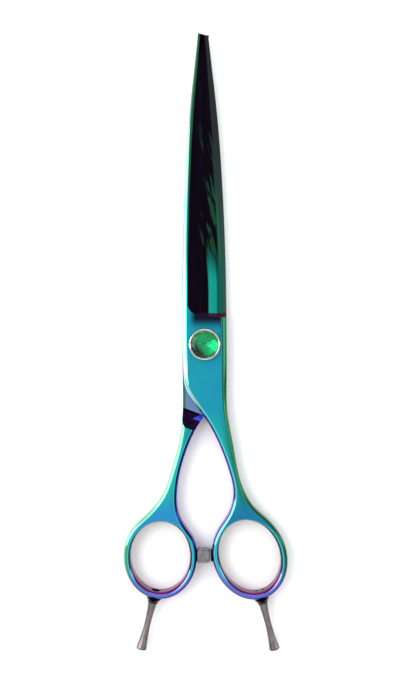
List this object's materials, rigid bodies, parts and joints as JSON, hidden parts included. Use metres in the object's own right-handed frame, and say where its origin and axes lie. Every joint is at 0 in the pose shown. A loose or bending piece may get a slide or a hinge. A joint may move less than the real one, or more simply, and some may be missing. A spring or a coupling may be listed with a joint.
{
  "type": "thinning shears",
  "caption": "Long closed thinning shears: plain blade over a toothed comb blade, oval ring handles with screw-in finger rests, rubber bumper and a jewelled tension dial on the pivot.",
  "frame": {"origin": "on the pivot axis, in the plane of the rear half's flat back face", "axes": "+Y along the closed blades to the tips, +X to the side of the front half's ring, +Z out of the front faces along the pivot axis"},
  "size_m": [0.0592, 0.2229, 0.0101],
  "materials": {
    "coated_steel": "satin",
    "bare_steel": "satin",
    "nickel": "polished",
    "bronze": "satin",
    "ptfe": "matte",
    "nylon": "matte",
    "green_glass": "polished",
    "foil": "polished",
    "grey_rubber": "satin",
    "black_rubber": "satin"
  },
  "bodies": {
    "rear": {"rear_half": "coated_steel", "pivot_stud": "bare_steel", "glide_washer": "ptfe", "bumper": "grey_rubber", "bumper_stud": "bare_steel"},
    "front": {"front_half": "coated_steel", "pivot_bush": "bronze", "thrust_washer": "bare_steel", "cone_spring": "bare_steel"},
    "dial": {"tension_dial": "nickel", "lock_ring": "nylon", "jewel": "green_glass", "jewel_foil": "foil"},
    "right_rest": {"right_finger_rest": "bare_steel", "right_rest_seal": "black_rubber"},
    "left_rest": {"left_finger_rest": "bare_steel", "left_rest_seal": "black_rubber"}
  },
  "joints": [
    {"name": "blade_pivot", "type": "hinge", "parent": "rear", "child": "front", "pos_m": [0, 0, 0], "axis": [0, 0, 1], "range_deg": [0, 140]},
    {"name": "dial_turn", "type": "hinge", "parent": "rear", "child": "dial", "pos_m": [0, 0, 0], "axis": [0, 0, 1], "range_deg": [-45, 180]},
    {"name": "right_rest_travel", "type": "slide", "parent": "front", "child": "right_rest", "axis": [0.2419, -0.9703, 0], "range_m": [0, 0.004]},
    {"name": "left_rest_travel", "type": "slide", "parent": "rear", "child": "left_rest", "axis": [-0.2419, -0.9703, 0], "range_m": [0, 0.003]}
  ]
}
